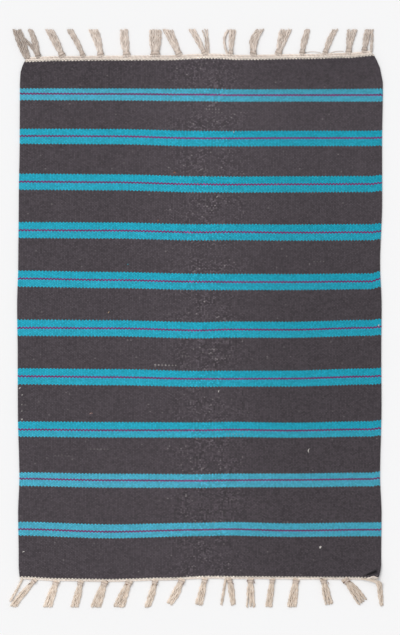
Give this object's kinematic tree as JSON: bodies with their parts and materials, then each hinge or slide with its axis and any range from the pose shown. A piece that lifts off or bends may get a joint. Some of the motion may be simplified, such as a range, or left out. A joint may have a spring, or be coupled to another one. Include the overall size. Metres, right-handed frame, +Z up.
{
  "type": "kilim rug",
  "caption": "Small flatwoven cotton rug lying flat, with narrow cross stripes and a knotted tassel fringe at each end.",
  "frame": {"origin": "on the floor under the middle of the rug, fringes included", "axes": "+X across the rug along the stripes, +Y along the rug towards its far fringe, +Z up out of the face that is looked at"},
  "size_m": [0.6326, 0.9908, 0.0092],
  "materials": {
    "woven_cotton": "matt weft-faced plain weave in thick cotton yarn, charcoal with turquoise stripes that are each split by a thin plum line",
    "undyed_cotton": "matt undyed cream cotton yarn, twisted and knotted"
  },
  "bodies": {
    "root": {"woven_cloth": "woven_cotton", "far_fringe": "undyed_cotton", "near_fringe": "undyed_cotton"}
  },
  "joints": []
}
